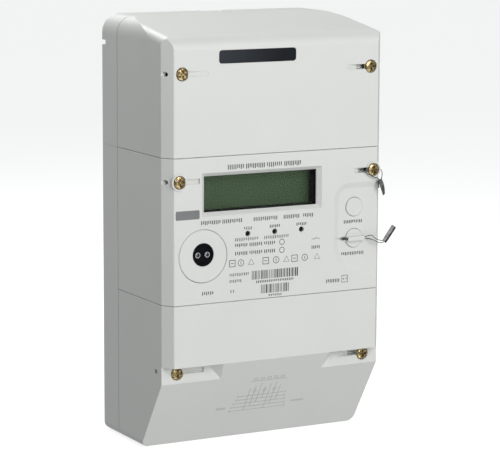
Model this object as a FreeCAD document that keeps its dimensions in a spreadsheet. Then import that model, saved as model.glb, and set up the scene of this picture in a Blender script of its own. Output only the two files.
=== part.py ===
import FreeCAD, Part
import math
import os
import re

import Sketcher

# A three-phase smart electricity meter for a wall or board.
# Frame: the wall plane is y = 0, the front looks along -Y, +Z is up and x = 0 is the middle.
# The bottom edge of the case is z = 0. Every size is in millimetres.

SIZES = [
    ("width", 155.0, "case, side to side"),
    ("depth", 92.2, "case, wall plane to front plane"),
    ("height", 270.4, "case, bottom to top"),
    ("wall", 2.4, "moulded wall"),
    ("gap", 0.3, "seam between two mouldings"),
    ("base_depth", 21.6, "rear base, wall plane to rim"),
    ("upper_seam", 187.4, "height of the seam above the main cover"),
    ("lower_seam", 96.0, "height of the seam below the main cover"),
    ("top_bend", 28.0, "depth at which the top starts to fall"),
    ("top_front", 260.3, "height at which the top would meet the front plane"),
    ("ledge", 57.0, "height at which the front plane gives way to the slope"),
    ("foot_depth", 55.1, "depth of the case at its bottom edge"),
    ("chamfer_side", 5.3, "front corner chamfer, across"),
    ("chamfer_back", 7.3, "front corner chamfer, front to back"),
    ("crown_round", 9.0, "round between the top and the front"),
    ("ridge_round", 5.0, "round between the falling top and the sides"),
    ("bend_round", 40.0, "round where the top starts to fall"),
    ("top_round", 12.0, "upper corners, seen from the front"),
    ("foot_round", 5.0, "lower corners, seen from the front"),
    ("edge_round", 1.1, "long edges of the chamfers"),
    ("ledge_round", 0.7, "edge above the slope"),
    ("toe_round", 1.2, "front edge of the bottom"),
    ("rim_round", 0.4, "edges along the seams"),
    ("rear_round", 1.0, "edge of the covers along the base"),
    ("upper_screw_x", 66.5, "upper cover screws, off centre"),
    ("upper_screw_z", 238.7, "upper cover screws, height"),
    ("main_screw_x", 68.8, "main cover screws, off centre"),
    ("main_screw_z", 172.8, "main cover screws, height"),
    ("lower_screw_x", 66.7, "terminal cover screws, off centre"),
    ("lower_screw_z", 52.2, "terminal cover screws, height"),
    ("post_depth", 50.0, "screw posts of the base, wall plane to top"),
    ("post_wide", 5.0, "radius of a screw post"),
    ("shank", 1.95, "radius of an M4 screw"),
    ("head_wide", 4.0, "radius of its pan head"),
    ("head_tall", 1.9, "height of its pan head"),
    ("head_sunk", 0.9, "counterbore under the upper and lower cover screws"),
    ("insert_long", 8.0, "threaded insert"),
    ("insert_wide", 2.8, "radius of the insert"),
    ("collar_wide", 5.2, "radius of the raised collar round a main screw"),
    ("collar_tall", 0.9, "height of that collar"),
    ("seal_groove", 3.2, "height of a seal wire groove"),
    ("seal_bore", 1.45, "radius of a seal wire channel"),
    ("seal_slot", 1.05, "front to back stretch of that channel"),
    ("seal_depth", 4.75, "depth of the channel behind the front"),
    ("pocket_low", 44.0, "lower end of the tool that cuts the screw pockets"),
    ("pocket_in", 46.1, "inner end of a pocket's floor under the ledge, off centre"),
    ("pocket_out", 37.9, "inner end of a pocket's mouth under the ledge, off centre"),
    ("pocket_lean", 0.89, "how far a pocket's end wall leans inwards for each millimetre down"),
    ("lcd_left", -50.6, "display opening"),
    ("lcd_right", 28.9, "display opening"),
    ("lcd_low", 152.8, "display opening"),
    ("lcd_high", 175.2, "display opening"),
    ("lcd_bevel", 2.6, "depth of the bevel round the display"),
    ("lcd_bevel_side", 2.6, "width of that bevel, left and right"),
    ("lcd_bevel_up", 2.2, "width of that bevel, above and below"),
    ("lcd_pane", 3.4, "clear pane of the display, behind the front"),
    ("lcd_back", 80.0, "depth of the display's face"),
    ("board_front", 74.0, "depth of the main board's front face"),
    ("board_thick", 1.6, "circuit boards"),
    ("slot_left", -41.5, "status window of the upper cover"),
    ("slot_right", 12.4, "status window"),
    ("slot_low", 244.2, "status window"),
    ("slot_high", 252.5, "status window"),
    ("slot_round", 2.0, "status window, corners"),
    ("panel_deep", 1.5, "recess of the button panel"),
    ("panel_slope", 3.6, "width of the panel's sloping edge"),
    ("panel_left", 41.0, "left edge of the panel"),
    ("panel_high", 165.1, "top edge of the panel"),
    ("panel_foot", 113.9, "slanting lower edge, at the panel's left"),
    ("panel_toe", 97.5, "slanting lower edge, at the panel's end"),
    ("panel_end", 82.0, "where the panel's outline closes, outside the case"),
    ("panel_round", 10.0, "upper left corner of the panel"),
    ("panel_foot_round", 16.0, "lower left corner of the panel"),
    ("button_x", 56.05, "both buttons, off centre"),
    ("view_z", 149.5, "view button"),
    ("lock_z", 129.4, "lock button"),
    ("button_wide", 6.0, "radius of a button"),
    ("button_front", 91.5, "depth of a button's face"),
    ("travel", 1.0, "travel of a button"),
    ("led_z", 138.0, "row of indicators"),
    ("led_first", -21.2, "left indicator"),
    ("led_pitch", 19.05, "spacing of the indicators"),
    ("led_wide", 1.5, "radius of an indicator"),
    ("port_x", -52.4, "optical port"),
    ("port_z", 126.0, "optical port"),
    ("port_wide", 16.5, "radius of the port's disc"),
    ("lens_z", 127.0, "lens of the optical port"),
    ("lens_wide", 7.2, "radius of the lens"),
    ("diode_wide", 1.65, "radius of an infrared diode"),
    ("diode_pitch", 6.5, "spacing of the infrared diodes"),
    ("block_half", 61.2, "terminal block, half its width"),
    ("block_low", 30.0, "terminal block, lower end"),
    ("block_high", 104.0, "terminal block, upper end"),
    ("block_front", 60.0, "terminal block, front face"),
    ("block_back", 12.0, "terminal block, rear face"),
    ("pitch", 15.0, "spacing of the cable terminals"),
    ("cable_y", -38.0, "row of cable bores"),
    ("cable_bore", 4.5, "radius of a cable bore"),
    ("clamp_low", 36.0, "lower end of a terminal clamp"),
    ("clamp_high", 62.0, "upper end of a terminal clamp"),
    ("clamp_half", 6.2, "terminal clamp, half its width"),
    ("bar_top", 128.0, "height of the current bars"),
    ("entry_half", 60.0, "cable entry, half its width"),
    ("entry_front", 51.0, "cable entry, front edge"),
    ("fix_x", 62.0, "lower wall holes, off centre"),
    ("fix_z", 16.0, "lower wall holes, height"),
    ("fix_wide", 2.75, "radius of a wall hole"),
    ("hanger_half", 11.6, "hanger, half its width"),
    ("hanger_low", 219.0, "hanger, lower end"),
    ("hanger_long", 50.0, "hanger, length"),
    ("hanger_thick", 1.5, "hanger, sheet"),
    ("hanger_hole", 3.2, "radius of the hanger's hole"),
    ("wire_wide", 0.28, "radius of a seal wire"),
]

VALUE = {alias: value for alias, value, note in SIZES}
ALIAS = re.compile(r"\b(" + "|".join(VALUE) + r")\b")
AXES = {
    "x": FreeCAD.Rotation(FreeCAD.Vector(0, 1, 0), 90),
    "y": FreeCAD.Rotation(FreeCAD.Vector(1, 0, 0), -90),
    "z": FreeCAD.Rotation(),
}
REAR_RIM = ("y", "-base_depth - gap", "rear_round")
Vector = FreeCAD.Vector

doc = FreeCAD.newDocument("electric_meter")
sub_parts = []


def fill_sheet():
    """Puts every driving dimension in the spreadsheet under its own name."""
    sheet = doc.addObject("Spreadsheet::Sheet", "Sizes")
    for row, (alias, value, note) in enumerate(SIZES, start=1):
        sheet.set(f"A{row}", note)
        sheet.set(f"B{row}", str(value))
        sheet.setAlias(f"B{row}", alias)
    doc.recompute()


def bind(thing, prop, formula):
    """Ties a property to a formula of the sheet's names."""
    thing.setExpression(prop, ALIAS.sub(r"Sizes.\1", str(formula)))


def keep(label, thing):
    """Marks an object as a finished sub-part."""
    thing.Label = label
    sub_parts.append(thing)
    return thing


# ---- building blocks -------------------------------------------------------------------


def box(x, y, z):
    """A block between two limits along each axis."""
    block = doc.addObject("Part::Box", "Block")
    for size, axis, (low, high) in zip(("Length", "Width", "Height"), "xyz", (x, y, z)):
        bind(block, size, f"({high}) - ({low})")
        bind(block, f"Placement.Base.{axis}", low)
    return block


def rod(axis, centre, span, radius):
    """A cylinder along an axis: centre is its other two coordinates, in X, Y, Z order."""
    cylinder = doc.addObject("Part::Cylinder", "Rod")
    cylinder.Placement = FreeCAD.Placement(Vector(), AXES[axis])
    bind(cylinder, "Radius", radius)
    bind(cylinder, "Height", f"({span[1]}) - ({span[0]})")
    others = [name for name in "xyz" if name != axis]
    for name, formula in zip(others, centre):
        bind(cylinder, f"Placement.Base.{name}", formula)
    bind(cylinder, f"Placement.Base.{axis}", span[0])
    return cylinder


def fuse(*pieces):
    joined = doc.addObject("Part::MultiFuse", "Fuse")
    joined.Shapes = list(pieces)
    return joined


def common(*pieces):
    shared = doc.addObject("Part::MultiCommon", "Common")
    shared.Shapes = list(pieces)
    return shared


def cut(base, *tools):
    remaining = doc.addObject("Part::Cut", "Cut")
    remaining.Base = base
    remaining.Tool = tools[0] if len(tools) == 1 else fuse(*tools)
    return remaining


def group(label, pieces):
    """Identical pieces that share one file as separate solids."""
    compound = doc.addObject("Part::Compound", "Group")
    compound.Links = pieces
    return keep(label, compound)


def outline(body, plane, corners, offset="0"):
    """A closed sketch of straight lines on an origin plane, every corner tied to the sheet."""
    sketch = body.newObject("Sketcher::SketchObject", "Outline")
    support = [item for item in body.Origin.OriginFeatures if item.Role == plane][0]
    sketch.AttachmentSupport = [(support, "")]
    sketch.MapMode = "FlatFace"
    bind(sketch, "AttachmentOffset.Base.z", offset)
    count = len(corners)
    rough = [Vector(rough_value(u), rough_value(v)) for u, v in corners]
    for index in range(count):
        sketch.addGeometry(Part.LineSegment(rough[index], rough[(index + 1) % count]))
    for index in range(count):
        following = (index + 1) % count
        sketch.addConstraint(Sketcher.Constraint("Coincident", index, 2, following, 1))
    for index, corner in enumerate(corners):
        for kind, formula in zip(("DistanceX", "DistanceY"), corner):
            number = sketch.addConstraint(
                Sketcher.Constraint(kind, -1, 1, index, 1, rough_value(formula)))
            bind(sketch, f"Constraints[{number}]", formula)
    return sketch


def rough_value(formula):
    """The number that a formula of the sheet's names stands for."""
    sheet = doc.getObject("Sizes")
    return float(sheet.evalExpression(ALIAS.sub(r"Sizes.\1", str(formula))))


def pad(body, plane, corners, start, length, rounds=()):
    """Pads an outline, then rounds the edges that stand on the given corners."""
    sketch = outline(body, plane, corners, start)
    prism = body.newObject("PartDesign::Pad", "Pad")
    prism.Profile = sketch
    bind(prism, "Length", length)
    doc.recompute()
    last = prism
    for radius, chosen in rounds:
        spots = [sketch.Placement.multVec(Vector(*map(rough_value, corners[i]))) for i in chosen]
        normal = sketch.Placement.Rotation.multVec(Vector(0, 0, 1))
        names = [
            f"Edge{number}"
            for number, edge in enumerate(last.Shape.Edges, start=1)
            if any(stands_on(edge, spot, normal) for spot in spots)
        ]
        fillet = body.newObject("PartDesign::Fillet", "Round")
        fillet.Base = (last, names)
        bind(fillet, "Radius", radius)
        doc.recompute()
        last = fillet
    return last


def stands_on(edge, spot, normal):
    """True for a straight edge along the normal that passes through the spot."""
    ends = [vertex.Point for vertex in edge.Vertexes]
    return len(ends) == 2 and all((end - spot).cross(normal).Length < 0.001 for end in ends)


def new_body():
    return doc.addObject("PartDesign::Body", "Body")


def prism(plane, corners, start, length, rounds=()):
    """A body that is one padded outline."""
    body = new_body()
    pad(body, plane, corners, start, length, rounds)
    return body


def spun(profile, x, z, y="0"):
    """A body turned about an axis along Y: profile points are (y, radius)."""
    body = new_body()
    sketch = outline(body, "YZ_Plane", profile)
    turned = body.newObject("PartDesign::Revolution", "Turned")
    turned.Profile = sketch
    turned.ReferenceAxis = (sketch, ["H_Axis"])
    turned.Angle = 360
    for axis, formula in zip("xyz", (x, y, z)):
        bind(body, f"Placement.Base.{axis}", formula)
    doc.recompute()
    return body


def pocket(body, plane, corners, start, length):
    """Cuts an outline into a body, against the outline's normal, and makes sure that it cut."""
    before = body.Shape.Volume
    sketch = outline(body, plane, corners, start)
    hollow = body.newObject("PartDesign::Pocket", "Pocket")
    hollow.Profile = sketch
    bind(hollow, "Length", length)
    doc.recompute()
    if body.Shape.Volume >= before:
        raise RuntimeError("a pocket missed its body")
    return hollow


# ---- the case --------------------------------------------------------------------------


def rounded_rim(blank, planes):
    """Rounds the edges of a block that lie in the given planes: (axis, formula, radius)."""
    doc.recompute()
    rounds = []
    for number, edge in enumerate(blank.Shape.Edges, start=1):
        for axis, formula, radius in planes:
            limit = rough_value(formula)
            if all(abs(getattr(vertex.Point, axis) - limit) < 0.001 for vertex in edge.Vertexes):
                rounds.append((number, VALUE[radius], VALUE[radius]))
    rim = doc.addObject("Part::Fillet", "Rim")
    rim.Base = blank
    rim.Edges = rounds
    return rim


def case_form(inset):
    """The outside of the whole case, or its cavity when the inset is the wall."""
    side, bevel = f"width / 2 - {inset}", f"width / 2 - chamfer_side - {inset} / 2"
    shoulder, front = f"-(depth - chamfer_back) + {inset} / 3", f"-depth + {inset}"
    plan = prism(
        "XY_Plane",
        [(f"-({side})", f"-{inset}"), (f"-({side})", shoulder), (f"-({bevel})", front),
         (bevel, front), (side, shoulder), (side, f"-{inset}")],
        "0", "height", [("edge_round", (1, 2, 3, 4))])
    profile = prism(
        "YZ_Plane",
        [(f"-{inset}", inset), (f"-{inset}", f"height - {inset}"),
         ("-top_bend", f"height - {inset}"), (front, f"top_front - {inset}"),
         (front, f"ledge + 0.3 * {inset}"), (f"-foot_depth + 0.54 * {inset}", inset)],
        "-width / 2", "width",
        [(f"crown_round - {inset}", (3,)), ("bend_round", (2,)), ("ledge_round", (4,)),
         ("toe_round", (5,))])
    face = prism(
        "XZ_Plane",
        [(f"-({side})", inset), (f"-({side})", f"height - {inset}"),
         (side, f"height - {inset}"), (side, inset)],
        "0", "depth",
        [(f"top_round - {inset}", (1, 2)), (f"foot_round - {inset}", (0, 3))])
    return common(plan, profile, face, ridge_form(side, inset))


def ridge_form(side, inset):
    """A block with rounded upper edges, tilted so that its top is the falling top of the case."""
    fall = math.degrees(math.atan2(VALUE["height"] - VALUE["top_front"],
                                   VALUE["depth"] - VALUE["top_bend"]))
    body = prism(
        "XZ_Plane",
        [(f"-({side})", "-1.3 * height"), (f"-({side})", "0"), (side, "0"), (side, "-1.3 * height")],
        "-1.5 * depth", "3 * depth", [(f"ridge_round - {inset}", (1, 2))])
    bind(body, "Placement.Base.y", "-top_bend")
    bind(body, "Placement.Base.z", f"height - {inset}")
    body.Placement.Rotation = FreeCAD.Rotation(FreeCAD.Vector(1, 0, 0), fall)
    return body


def both_sides(x):
    """A formula and its mirror image."""
    return (f"-({x})", x)


def screw_places():
    for x, z in (("upper_screw_x", "upper_screw_z"), ("main_screw_x", "main_screw_z"),
                 ("lower_screw_x", "lower_screw_z")):
        for place in both_sides(x):
            yield place, z


def rear_base(case, cavity):
    """The tray against the wall, with its partitions, posts and hanger guide."""
    slab = common(case, box(("-width", "width"), ("-base_depth", "0"), ("-1", "height + 1")))
    tray = cut(rounded_rim(slab, [("y", "-base_depth", "rim_round")]), cavity)
    partitions = [
        box(("-width / 2 + wall", "width / 2 - wall"), ("-base_depth", "-wall"),
            (f"{seam} - wall / 2", f"{seam} + wall / 2"))
        for seam in ("upper_seam", "lower_seam + 10")
    ]
    posts = [rod("y", (x, z), ("-post_depth", "-wall + 0.2"), "post_wide")
             for x, z in screw_places()]
    stands = [rod("y", (x, z), ("-60.4", "-wall + 0.2"), "3.5")
              for x in both_sides("50") for z in ("200", "240")]
    guide = box(("-16", "16"), ("-6", "-wall + 0.2"), ("207", "height - 2"))
    inserts = [rod("y", (x, z), ("-post_depth - 1", "-post_depth + insert_long"),
                   "insert_wide + 0.02") for x, z in screw_places()]
    tails = [rod("y", (x, z), ("-post_depth", "-36"), "2.3") for x, z in screw_places()]
    pilots = [rod("y", (x, z), ("-61", "-50"), "1.25")
              for x in both_sides("50") for z in ("200", "240")]
    fixings = [rod("y", (x, "fix_z"), ("-wall - 1", "1"), "fix_wide") for x in both_sides("fix_x")]
    wide_slot = box(("-hanger_half - 0.3", "hanger_half + 0.3"), ("-3.8", "-1.8"),
                    ("hanger_low - 4", "height + 1"))
    narrow_slot = box(("-8.5", "8.5"), ("-2", "1"), ("hanger_low - 4", "height + 1"))
    notch = box(("-width / 2 - 1", "-width / 2 + 5"), ("-5", "1"), ("251", "254"))
    line = cut(box(("-width", "width"), ("-base_depth - 1", "-1.2"),
                   ("upper_seam - 0.2", "upper_seam + 0.2")),
               box(("-width / 2 + 0.25", "width / 2 - 0.25"), ("-base_depth - 2", "0"),
                   ("upper_seam - 1", "upper_seam + 1")))
    blank = fuse(tray, *partitions, *posts, *stands, guide)
    return keep("rear_base", cut(blank, *inserts, *tails, *pilots, *fixings, wide_slot,
                                 narrow_slot, notch, line))


def cover_zone(low, high):
    """Everything in front of the base's rim between two heights."""
    return box(("-width", "width"), ("-depth - 1", "-base_depth - gap"), (low, high))


def seal_cuts(side, screw_x, screw_z, front, groove_end, end_depth="0.25"):
    """The wire groove beside a screw; on the right-hand side it falls into a pit."""
    sign = "-" if side < 0 else ""
    pit_near, pit_far = f"{screw_x} - 3", f"{screw_x} - 9.5"
    bottom = [(f"{sign}({pit_near})", front + " + 1.7")]
    if side > 0:
        bottom = [(pit_far, front + " + 2.1"), (pit_far, front + " + 5.6"),
                  (pit_near, front + " + 5.6")]
    return prism(
        "XY_Plane",
        [(f"{sign}({groove_end})", front + " - 1"), (f"{sign}({groove_end})", f"{front} + {end_depth}"),
         *bottom, (f"{sign}({pit_near})", front + " - 1")],
        f"{screw_z} - seal_groove / 2", "seal_groove")


def seal_channel(side, screw_x, screw_z, y):
    """The slotted channel from a screw out through the corner of the case."""
    near, far = f"{screw_x} - 4", "width / 2 + 1"
    span = (near, far) if side > 0 else (f"-({far})", f"-({near})")
    return fuse(rod("x", (y, screw_z), span, "seal_bore"),
                rod("x", (f"{y} + seal_slot", screw_z), span, "seal_bore"),
                box(span, (y, f"{y} + seal_slot"),
                    (f"{screw_z} - seal_bore", f"{screw_z} + seal_bore")))


def seal_backing(side, screw_x, screw_z, front, groove_end):
    """Thick material behind a wire groove."""
    near, far = f"{screw_x} + 4", f"{groove_end} - 0.4"
    span = (far, near) if side > 0 else (f"-({near})", f"-({far})")
    return box(span, (front, front + " + 7.6"), (f"{screw_z} - 5", f"{screw_z} + 5"))


def boss(x, z, front):
    return rod("y", (x, z), (front, "-post_depth - gap"), "post_wide")


def screw_bore(x, z):
    return rod("y", (x, z), ("-depth - 2", "-post_depth + 1"), "2.2")


def counterbore(x, z, front):
    return rod("y", (x, z), (front + " - 1", front + " + head_sunk"), "head_wide + 0.3")


def upper_cover(case, cavity):
    """The lid of the communication compartment."""
    zone = cover_zone("upper_seam + gap / 2", "height + 1")
    block = rounded_rim(common(case, zone), [REAR_RIM, ("z", "upper_seam + gap / 2", "rim_round")])
    shell = cut(block, cavity)
    front = "-depth + 0.5"
    extras, cuts = [], []
    for side, x in zip((-1, 1), both_sides("upper_screw_x")):
        extras.append(boss(x, "upper_screw_z", front))
        extras.append(seal_backing(side, "upper_screw_x", "upper_screw_z", front, "48.9"))
        cuts.append(screw_bore(x, "upper_screw_z"))
        cuts.append(counterbore(x, "upper_screw_z", "-depth"))
        cuts.append(seal_cuts(side, "upper_screw_x", "upper_screw_z", "-depth", "48.9"))
        cuts.append(seal_channel(side, "upper_screw_x", "upper_screw_z", "-depth + seal_depth"))
    slot = prism(
        "XZ_Plane",
        [("slot_left", "slot_low"), ("slot_left", "slot_high"), ("slot_right", "slot_high"),
         ("slot_right", "slot_low")],
        "depth - wall - 1", "wall + 2", [("slot_round", (0, 1, 2, 3))])
    return keep("upper_cover", cut(fuse(shell, *extras), *cuts, slot))


def upper_window():
    """The smoked pane that fills the status window, with a rim behind the wall."""
    body = new_body()
    pad(body, "XZ_Plane",
        [("slot_left + 0.1", "slot_low + 0.1"), ("slot_left + 0.1", "slot_high - 0.1"),
         ("slot_right - 0.1", "slot_high - 0.1"), ("slot_right - 0.1", "slot_low + 0.1")],
        "depth - wall - 1.2", "wall + 0.9", [("slot_round - 0.1", (0, 1, 2, 3))])
    rim = box(("slot_left - 2", "slot_right + 2"), ("-depth + wall + 0.3", "-depth + wall + 1.3"),
              ("slot_low - 2", "slot_high + 0.4"))
    return keep("upper_window", fuse(body, rim))


def main_cover(case, cavity):
    """The sealed middle cover, with its display opening, button panel and optical port."""
    zone = cover_zone("lower_seam + gap / 2", "upper_seam - gap / 2")
    room = box(("-width", "width"), ("-depth", "1"),
               ("lower_seam + gap / 2 + wall", "upper_seam - gap / 2 - wall"))
    block = rounded_rim(common(case, zone), [
        REAR_RIM, ("z", "lower_seam + gap / 2", "rim_round"),
        ("z", "upper_seam - gap / 2", "rim_round")])
    shell = cut(block, common(cavity, room))
    front = "-depth + 0.5"
    extras, cuts = [], []
    for side, x in zip((-1, 1), both_sides("main_screw_x")):
        extras.append(boss(x, "main_screw_z", front))
        extras.append(seal_backing(side, "main_screw_x", "main_screw_z", front, "54.6"))
        extras.append(rod("y", (x, "main_screw_z"), ("-depth - collar_tall", "-depth + 1"),
                          "collar_wide"))
        cuts.append(rod("y", (x, "main_screw_z"), ("-depth - 2", "-depth"), "head_wide + 0.3"))
        cuts.append(screw_bore(x, "main_screw_z"))
        cuts.append(seal_cuts(side, "main_screw_x", "main_screw_z", "-depth", "54.6",
                              "1.3" if side < 0 else "0.25"))
        cuts.append(seal_channel(side, "main_screw_x", "main_screw_z", "-depth + seal_depth"))
    extras.append(box(("lcd_left - 6", "lcd_right + 6"), (front, "-depth + lcd_pane"),
                      ("lcd_low - 5", "lcd_high + 4.5")))
    extras.append(common(case, box(("panel_left - 4", "width / 2"), (front, "-depth + 4.7"),
                                   ("lower_seam + 1", "panel_high + 3"))))
    extras.append(rod("y", ("port_x", "port_z"), (front, "-depth + 5.6"), "port_wide + 3"))
    extras += [rod("y", (x, z), (front, "-board_front"), "3") for x, z in board_fixings()]
    cuts += [rod("y", (x, z), ("-board_front - 9", "-board_front + 1"), "1.25")
             for x, z in board_fixings()]
    cuts += [display_bevel(), display_opening(), button_panel(), *lock_slots()]
    cuts += [rod("y", ("button_x", z), ("-depth - 1", "-depth + 6"), "button_wide + 0.3")
             for z in ("view_z", "lock_z")]
    cuts += [rod("y", (x, "led_z"), ("-depth - 1", "-depth + 6"), "led_wide + 0.25")
             for x in led_places()]
    cuts.append(rod("y", ("port_x", "port_z"), ("-depth - 1", "-depth + 3.4"), "port_wide + 0.3"))
    cuts.append(rod("y", ("port_x", "lens_z"), ("-depth - 1", "-depth + 8"), "lens_wide - 1"))
    cuts.append(box(("-block_half - 0.5", "block_half + 0.5"),
                    ("-block_front - 0.5", "-base_depth + 1"),
                    ("lower_seam - 1", "lower_seam + wall + 1")))
    return keep("main_cover", cut(common(fuse(shell, *extras), zone), *cuts))


def board_fixings():
    return (("-59", "104.5"), ("30", "104.5"), ("-59", "181"), ("40", "181"))


def led_places():
    return [f"led_first + {index} * led_pitch" for index in range(3)]


def display_bevel():
    """A frustum that narrows from the front plane to the display opening."""
    bevel = doc.addObject("Part::Wedge", "Bevel")
    for prop, formula in (
            ("Xmin", "lcd_left - lcd_bevel_side"), ("Xmax", "lcd_right + lcd_bevel_side"),
            ("Zmin", "lcd_low - lcd_bevel_up"), ("Zmax", "lcd_high + lcd_bevel_up"),
            ("Ymin", "-depth"), ("Ymax", "-depth + lcd_bevel"),
            ("X2min", "lcd_left"), ("X2max", "lcd_right"),
            ("Z2min", "lcd_low"), ("Z2max", "lcd_high")):
        bind(bevel, prop, formula)
    return bevel


def display_opening():
    return box(("lcd_left", "lcd_right"), ("-depth + lcd_bevel - 0.1", "-depth + 6"),
               ("lcd_low", "lcd_high"))


def button_panel():
    """The shallow field round the buttons: sloping edges, open to the right."""
    body = new_body()
    field = pad(
        body, "XZ_Plane",
        [("panel_left", "panel_foot"), ("panel_left", "panel_high"), ("panel_end", "panel_high"),
         ("panel_end", "panel_toe")],
        "depth - panel_deep", "panel_deep + 1",
        [("panel_round", (1,)), ("panel_foot_round", (0,))])
    floor, end = -VALUE["depth"] + VALUE["panel_deep"], VALUE["panel_end"]
    names = [f"Edge{number}" for number, edge in enumerate(field.Shape.Edges, start=1)
             if all(abs(vertex.Y - floor) < 0.001 for vertex in edge.Vertexes)
             and any(abs(vertex.X - end) > 0.001 for vertex in edge.Vertexes)]
    slope = body.newObject("PartDesign::Chamfer", "Slope")
    slope.Base = (field, names)
    slope.ChamferType = "Two distances"
    bind(slope, "Size", "panel_deep - 0.05")
    bind(slope, "Size2", "panel_slope")
    doc.recompute()
    return body


def lock_slots():
    """The pit at the left of the lock button for its seal wire, and the groove into it."""
    floor = "-depth + panel_deep"
    pit = box(("button_x - 9.4", "button_x - 5"), (floor + " - 1", floor + " + 4"),
              ("lock_z - 1.1", "lock_z + 1.1"))
    ramp = prism(
        "XY_Plane",
        [("button_x - 14.3", floor + " - 1"), ("button_x - 14.3", floor),
         ("button_x - 9.4", floor + " + 1.2"), ("button_x - 9.4", floor + " - 1")],
        "lock_z - 0.5", "1")
    return pit, ramp


def screw_pocket(sign):
    """The notch under the ledge: its end wall leans back from the front and in from the top."""
    reach = "(pocket_in - pocket_out) / chamfer_back"
    body = new_body()
    outlines = []
    for offset, end in (("depth - chamfer_back", "pocket_in"),
                        ("depth + 1", f"pocket_out - {reach}")):
        foot = f"{end} - pocket_lean * (ledge - pocket_low)"
        outlines.append(outline(
            body, "XZ_Plane",
            [(f"{sign}(width / 2 + 2)", "pocket_low"), (f"{sign}(width / 2 + 2)", "ledge"),
             (f"{sign}({end})", "ledge"), (f"{sign}({foot})", "pocket_low")], offset))
    solid = body.newObject("PartDesign::AdditiveLoft", "Notch")
    solid.Profile = outlines[0]
    solid.Sections = [outlines[1]]
    solid.Ruled = True
    doc.recompute()
    return body


def terminal_cover(case, cavity):
    """The lid of the cable compartment: sloped below, with a screw pocket at each side."""
    zone = cover_zone("-1", "lower_seam - gap / 2")
    block = rounded_rim(common(case, zone), [REAR_RIM, ("z", "lower_seam - gap / 2", "rim_round")])
    shell = cut(block, cavity)
    floor = "-depth + chamfer_back"
    extras, cuts = [], []
    for side, x in zip((-1, 1), both_sides("lower_screw_x")):
        sign = "-" if side < 0 else ""
        extras.append(boss(x, "lower_screw_z", floor + " + 0.2"))
        backing = box(
            ((f"{sign}(pocket_out - 3.2)", "width / 2 - 1") if side > 0
             else ("-width / 2 + 1", f"{sign}(pocket_out - 3.2)")),
            ("-depth + 1", floor + " + wall"), ("40", "ledge + wall"))
        extras.append(common(case, backing))
        extras.append(seal_backing(side, "lower_screw_x", "lower_screw_z", floor + " + 0.2", "48.1"))
        cuts.append(screw_pocket(sign))
        cuts.append(screw_bore(x, "lower_screw_z"))
        cuts.append(seal_cuts(side, "lower_screw_x", "lower_screw_z + 1", floor, "48.1",
                              "1.5" if side < 0 else "0.25"))
        cuts.append(counterbore(x, "lower_screw_z", floor))
        cuts.append(seal_channel(side, "lower_screw_x", "lower_screw_z + 1",
                                 "-depth + chamfer_back + seal_depth + 2.6"))
    cuts.append(box(("-entry_half", "entry_half"), ("-entry_front", "-base_depth + 1"),
                    ("-1", "wall + 1")))
    return keep("terminal_cover", cut(fuse(shell, *extras), *cuts))


# ---- screws ----------------------------------------------------------------------------


def cross(half_long, half_wide):
    """The corners of a Phillips recess, as a plus sign."""
    a, b = half_long, half_wide
    return [(-a, -b), (-a, b), (-b, b), (-b, a), (b, a), (b, b), (a, b), (a, -b), (b, -b),
            (b, -a), (-b, -a), (-b, -b)]


def cover_screw(label, x, z, seat, cross_hole=False):
    """A long pan-head screw whose head rests on the seat, a depth in front of the wall."""
    long = f"{seat} - 44.5"
    body = spun(
        [("0", "0"), ("-head_tall", "0"), ("-head_tall", "head_wide * 0.62"),
         ("-head_tall * 0.72", "head_wide * 0.9"), ("-head_tall * 0.35", "head_wide"),
         ("0", "head_wide"), ("0", "shank"), (f"{long} - 0.8", "shank"), (long, "shank - 0.8"),
         (long, "0")],
        x, z, f"-({seat})")
    pocket(body, "XZ_Plane", cross(2.5, 0.65), "head_tall", "1.6")
    if cross_hole:
        through = rod("x", (f"-({seat}) + seal_depth", z), (f"{x} - 4", f"{x} + 4"), "0.7")
        return keep(label, cut(body, through))
    return keep(label, body)


def all_cover_screws():
    for side, sign in (("left", "-"), ("right", "")):
        cover_screw(f"upper_screw_{side}", f"{sign}upper_screw_x", "upper_screw_z",
                    "(depth - head_sunk)")
        cover_screw(f"main_screw_{side}", f"{sign}main_screw_x", "main_screw_z", "depth", True)
        cover_screw(f"terminal_cover_screw_{side}", f"{sign}lower_screw_x", "lower_screw_z",
                    "(depth - chamfer_back - head_sunk)")


def screw_inserts():
    group("screw_inserts", [
        cut(rod("y", (x, z), ("-post_depth", "-post_depth + insert_long - 0.05"), "insert_wide"),
            rod("y", (x, z), ("-post_depth - 1", "-post_depth + insert_long + 1"),
                "shank + 0.05"))
        for x, z in screw_places()
    ])


# ---- display and boards ----------------------------------------------------------------


def display():
    """The clear pane, the dark frame behind it, the display glass and its light."""
    span_x = ("lcd_left - 2.5", "lcd_right + 2.5")
    span_z = ("lcd_low - 2.5", "lcd_high + 2.5")
    pane = "-depth + lcd_pane"
    keep("lcd_window", box(span_x, (pane + " + 0.05", pane + " + 1.55"), span_z))
    frame = box(span_x, (pane + " + 1.6", "-lcd_back + 3.2"), span_z)
    view = box(("lcd_left + 0.2", "lcd_right - 0.2"), (pane, "-lcd_back + 0.05"),
               ("lcd_low + 0.2", "lcd_high - 0.2"))
    seat = box(("lcd_left - 1.2", "lcd_right + 1.2"), ("-lcd_back", "-lcd_back + 5"),
               ("lcd_low - 1.2", "lcd_high + 1.2"))
    keep("lcd_frame", cut(frame, view, seat))
    glass_x = ("lcd_left - 1", "lcd_right + 1")
    glass_z = ("lcd_low - 1", "lcd_high + 1")
    keep("lcd_panel", box(glass_x, ("-lcd_back + 0.05", "-lcd_back + 2.35"), glass_z))
    keep("lcd_backlight", box(glass_x, ("-lcd_back + 2.4", "-board_front - 0.02"), glass_z))


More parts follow.
